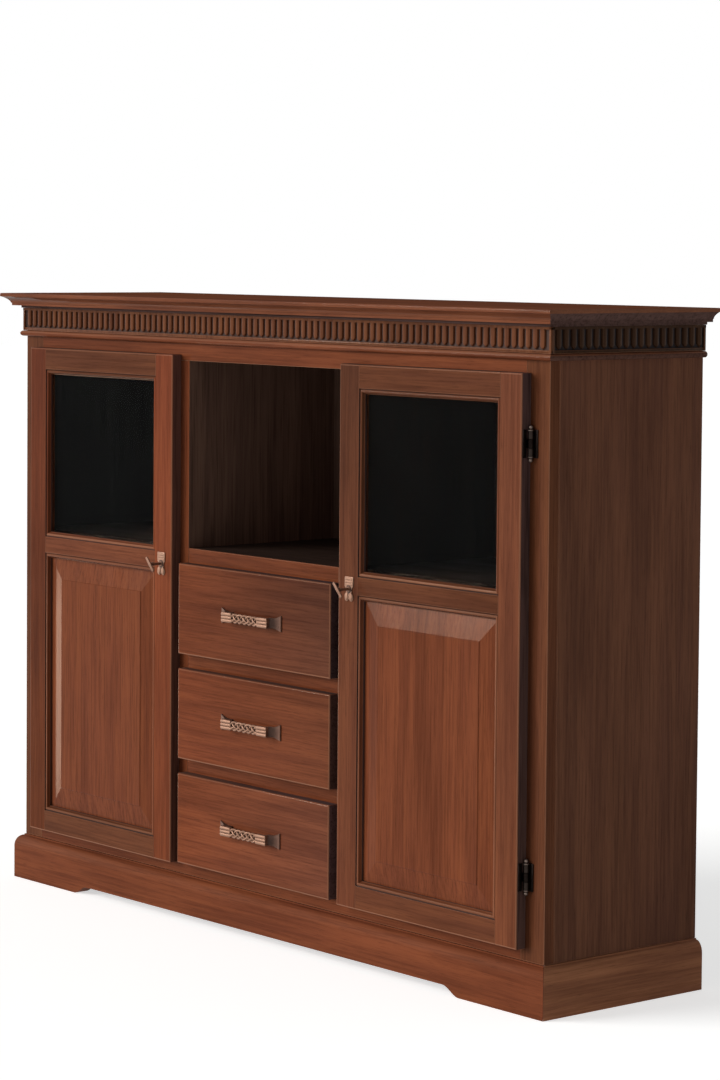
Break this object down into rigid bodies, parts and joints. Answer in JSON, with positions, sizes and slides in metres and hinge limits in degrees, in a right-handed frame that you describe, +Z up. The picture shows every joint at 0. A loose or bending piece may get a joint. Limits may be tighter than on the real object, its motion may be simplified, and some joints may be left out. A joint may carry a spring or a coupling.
{
  "type": "display sideboard",
  "caption": "Mahogany display sideboard with framed doors that have glass over a raised panel, an open niche above drawers, a fluted cornice and a bracket plinth.",
  "frame": {"origin": "on the floor, under the centre of the overall box", "axes": "+Z up, +X to the right seen from the front, -Y towards the front"},
  "size_m": [1.43, 0.3658, 1.05],
  "materials": {
    "mahogany": "satin lacquer over red-brown stain",
    "mahogany_inside": "dark matt stain",
    "clear_glass": "polished",
    "dark_bronze": "antique dark bronze plating",
    "antique_copper": "antique copper plating",
    "plain_steel": "brushed"
  },
  "bodies": {
    "cabinet": {"top_board": "mahogany", "frieze_front": "mahogany", "frieze_left": "mahogany", "frieze_right": "mahogany", "astragal_bead": "mahogany", "side_left": "mahogany", "side_right": "mahogany", "back_panel": "mahogany_inside", "base_board": "mahogany", "corner_stile_left": "mahogany", "corner_stile_right": "mahogany", "top_rail": "mahogany", "divider_left": "mahogany", "divider_right": "mahogany", "niche_shelf": "mahogany", "display_shelf_left": "mahogany_inside", "display_shelf_right": "mahogany_inside", "drawer_rail_upper": "mahogany", "drawer_rail_lower": "mahogany", "plinth_front": "mahogany", "plinth_left": "mahogany", "plinth_right": "mahogany", "plinth_back": "mahogany_inside", "hinge_left_upper_fixed_leaf": "dark_bronze", "hinge_left_lower_fixed_leaf": "dark_bronze", "hinge_right_upper_fixed_leaf": "dark_bronze", "hinge_right_lower_fixed_leaf": "dark_bronze"},
    "left_door": {"left_door_hinge_stile": "mahogany", "left_door_lock_stile": "mahogany", "left_door_top_rail": "mahogany", "left_door_mid_rail": "mahogany", "left_door_bottom_rail": "mahogany", "left_door_glass": "clear_glass", "left_door_panel": "mahogany", "left_door_hinge_upper": "dark_bronze", "left_door_hinge_lower": "dark_bronze", "left_door_lock": "antique_copper"},
    "left_key": {"left_door_key": "antique_copper"},
    "left_bolt": {"left_door_bolt": "plain_steel"},
    "right_door": {"right_door_hinge_stile": "mahogany", "right_door_lock_stile": "mahogany", "right_door_top_rail": "mahogany", "right_door_mid_rail": "mahogany", "right_door_bottom_rail": "mahogany", "right_door_glass": "clear_glass", "right_door_panel": "mahogany", "right_door_hinge_upper": "dark_bronze", "right_door_hinge_lower": "dark_bronze", "right_door_lock": "antique_copper"},
    "right_key": {"right_door_key": "antique_copper"},
    "right_bolt": {"right_door_bolt": "plain_steel"},
    "top_drawer": {"top_drawer_front": "mahogany", "top_drawer_box": "mahogany_inside", "top_drawer_handle": "antique_copper"},
    "middle_drawer": {"middle_drawer_front": "mahogany", "middle_drawer_box": "mahogany_inside", "middle_drawer_handle": "antique_copper"},
    "bottom_drawer": {"bottom_drawer_front": "mahogany", "bottom_drawer_box": "mahogany_inside", "bottom_drawer_handle": "antique_copper"}
  },
  "joints": [
    {"name": "left_door_hinge", "type": "hinge", "parent": "cabinet", "child": "left_door", "pos_m": [-0.6455, -0.1426, 0.5], "axis": [0, 0, -1], "range_deg": [0, 110]},
    {"name": "right_door_hinge", "type": "hinge", "parent": "cabinet", "child": "right_door", "pos_m": [0.6455, -0.1426, 0.5], "axis": [0, 0, 1], "range_deg": [0, 110]},
    {"name": "top_drawer_slide", "type": "slide", "parent": "cabinet", "child": "top_drawer", "axis": [0, -1, 0], "range_m": [0, 0.2]},
    {"name": "middle_drawer_slide", "type": "slide", "parent": "cabinet", "child": "middle_drawer", "axis": [0, -1, 0], "range_m": [0, 0.2]},
    {"name": "bottom_drawer_slide", "type": "slide", "parent": "cabinet", "child": "bottom_drawer", "axis": [0, -1, 0], "range_m": [0, 0.2]},
    {"name": "left_key_turn", "type": "hinge", "parent": "left_door", "child": "left_key", "pos_m": [-0.2475, -0.1566, 0.6019], "axis": [0, 1, 0], "range_deg": [0, 90]},
    {"name": "left_bolt_slide", "type": "slide", "parent": "left_door", "child": "left_bolt", "axis": [1, 0, 0], "range_m": [0, 0.009]},
    {"name": "right_key_turn", "type": "hinge", "parent": "right_door", "child": "right_key", "pos_m": [0.2475, -0.1566, 0.6019], "axis": [0, -1, 0], "range_deg": [0, 90]},
    {"name": "right_bolt_slide", "type": "slide", "parent": "right_door", "child": "right_bolt", "axis": [-1, 0, 0], "range_m": [0, 0.009]}
  ],
  "couplings": [
    {"joint": "left_key_turn", "follows": "left_bolt_slide", "rad_per_m": 174.53},
    {"joint": "right_key_turn", "follows": "right_bolt_slide", "rad_per_m": 174.53}
  ]
}
